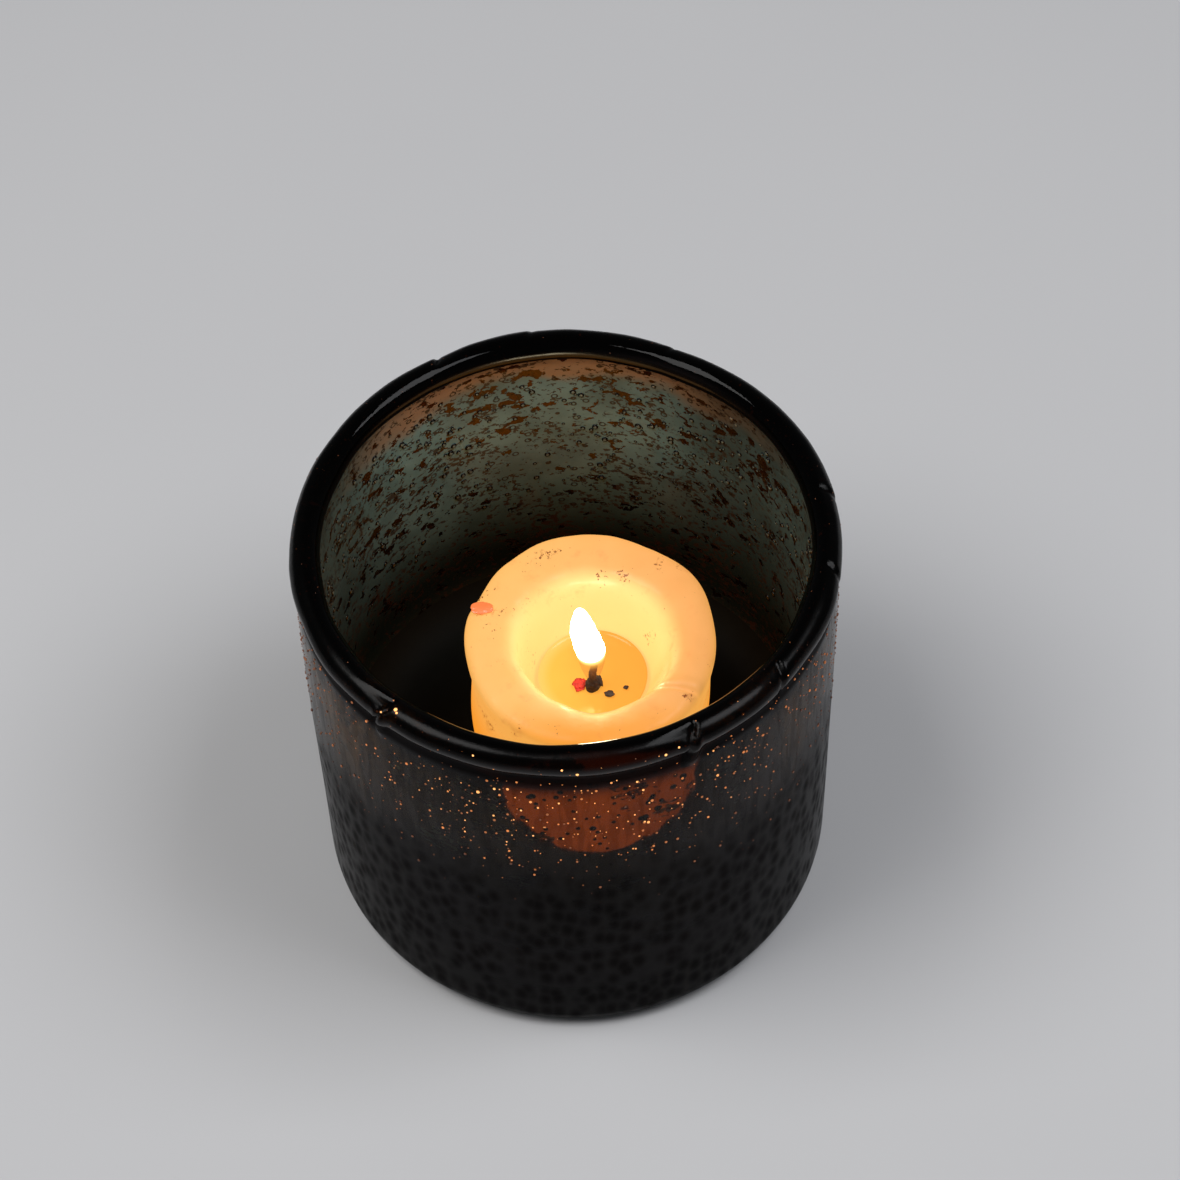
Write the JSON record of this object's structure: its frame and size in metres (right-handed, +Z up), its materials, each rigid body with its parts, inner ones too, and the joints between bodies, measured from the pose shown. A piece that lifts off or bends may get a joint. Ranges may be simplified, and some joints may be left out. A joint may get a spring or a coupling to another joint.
{
  "type": "tealight holder",
  "caption": "Hand-blown dark glass cup with a rounded rim bead, holding a loose, partly burnt pillar candle with a wick in a melted pool.",
  "frame": {"origin": "centre of the cup's foot, on the surface it stands on", "axes": "+Z up through the cup's mouth, -Y towards the viewer, +X to the viewer's right; the candle stands 4 mm to the right of the middle"},
  "size_m": [0.1, 0.1, 0.093],
  "materials": {
    "smoke_glass": "glossy smoked glass, nearly black in reflected light, brown where light comes through, with seeds",
    "candle_wax": "satin translucent wax, glowing from the flame",
    "molten_wax": "wet, clear",
    "burnt_wick": "charred cotton",
    "tinned_steel": "thin tinned sheet",
    "char": "matte char",
    "red_wax": "satin wax",
    "orange_wax": "satin wax",
    "flame": "burning candle flame, shown in the visual model only"
  },
  "bodies": {
    "cup": {"glass_cup": "smoke_glass"},
    "candle": {"candle_body": "candle_wax", "wax_pool": "molten_wax", "wick": "burnt_wick", "wick_sustainer": "tinned_steel", "wick_crumb": "char", "red_chip": "red_wax", "char_flake_large": "char", "char_flake_small": "char", "wax_dab": "orange_wax"}
  },
  "joints": [
    {"name": "candle_lift", "type": "slide", "parent": "cup", "child": "candle", "axis": [0, 0, 1], "range_m": [0, 0.12]}
  ]
}
